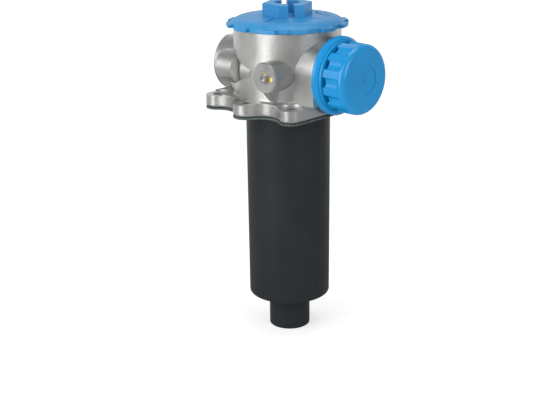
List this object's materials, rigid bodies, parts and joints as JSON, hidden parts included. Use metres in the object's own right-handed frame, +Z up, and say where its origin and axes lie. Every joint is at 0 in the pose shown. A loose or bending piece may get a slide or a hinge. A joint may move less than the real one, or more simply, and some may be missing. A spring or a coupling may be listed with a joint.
{
  "type": "tank-top hydraulic return-line filter",
  "caption": "Flange-mounted hydraulic return filter: cast head with screw cover, side breather, gauge ports, and a moulded bowl with outlet spout hanging below.",
  "frame": {"origin": "on the filter axis, in the tank's top face, which is the underside of the flange gasket and the centre of the corner bolt pattern", "axes": "+Z up along the filter axis towards the cover, +X along the breather's axis out of the head, -X along the inlet port's axis, -Y on the side with the gauge ports' front boss"},
  "size_m": [0.1898, 0.156, 0.3671],
  "materials": {
    "cast_aluminium": "shot-blasted casting, satin",
    "cover_plastic": "moulded glass-filled nylon, satin blue",
    "breather_plastic": "moulded plastic, semi-gloss blue",
    "bowl_plastic": "moulded glass-filled nylon, satin black",
    "gasket_fibre": "compressed fibre sheet, mottled dark grey-green",
    "seal_rubber": "nitrile rubber, matt black",
    "zinc_steel": "zinc-plated steel",
    "bonded_washer": "yellow-passivated steel with a rubber lip",
    "spring_steel": "drawn spring wire, lightly oiled",
    "filter_paper": "resin-treated pleated filter paper",
    "core_steel": "perforated tinned steel",
    "cap_plastic": "moulded nylon, dark grey",
    "filter_foam": "open-cell filter foam, grey"
  },
  "bodies": {
    "housing": {"head": "cast_aluminium", "breather_base": "breather_plastic", "bowl": "bowl_plastic", "flange_gasket": "gasket_fibre", "bowl_seal": "seal_rubber", "element_seal": "seal_rubber", "breather_gasket": "seal_rubber", "front_gauge_plug": "zinc_steel", "side_gauge_plug": "zinc_steel", "front_plug_washer": "bonded_washer", "side_plug_washer": "bonded_washer", "cover_spring": "spring_steel", "bypass_spring": "spring_steel", "element_bail": "spring_steel", "element_media": "filter_paper", "element_core": "core_steel", "element_top_cap": "cap_plastic", "element_bottom_cap": "cap_plastic", "bypass_cage": "cap_plastic", "breather_baffle": "cap_plastic"},
    "cover_seal_ring": {"cover_seal": "seal_rubber"},
    "screw_cover": {"cover": "cover_plastic"},
    "breather_foam": {"breather_filter": "filter_foam"},
    "breather_knob": {"breather_cap": "breather_plastic"},
    "poppet": {"bypass_poppet": "cap_plastic"}
  },
  "joints": [
    {"name": "cover_lift", "type": "slide", "parent": "housing", "child": "cover_seal_ring", "axis": [0, 0, 1], "range_m": [0, 0.012], "deforming": ["cover_spring"]},
    {"name": "cover_turn", "type": "hinge", "parent": "cover_seal_ring", "child": "screw_cover", "pos_m": [0, 0, 0.09], "axis": [0, 0, 1], "range_deg": [0, 1081]},
    {"name": "breather_lift", "type": "slide", "parent": "housing", "child": "breather_foam", "axis": [1, 0, 0], "range_m": [0, 0.01]},
    {"name": "breather_turn", "type": "hinge", "parent": "breather_foam", "child": "breather_knob", "pos_m": [0.07, 0, 0.0432], "axis": [1, 0, 0], "range_deg": [0, 901]},
    {"name": "bypass_open", "type": "slide", "parent": "housing", "child": "poppet", "axis": [0, 0, -1], "range_m": [0, 0.006], "stiffness_N_per_m": 6000, "springref_m": -0.012, "deforming": ["bypass_spring"]}
  ],
  "couplings": [
    {"joint": "cover_turn", "follows": "cover_lift", "rad_per_m": 1570.8},
    {"joint": "breather_turn", "follows": "breather_lift", "rad_per_m": 1570.8}
  ]
}
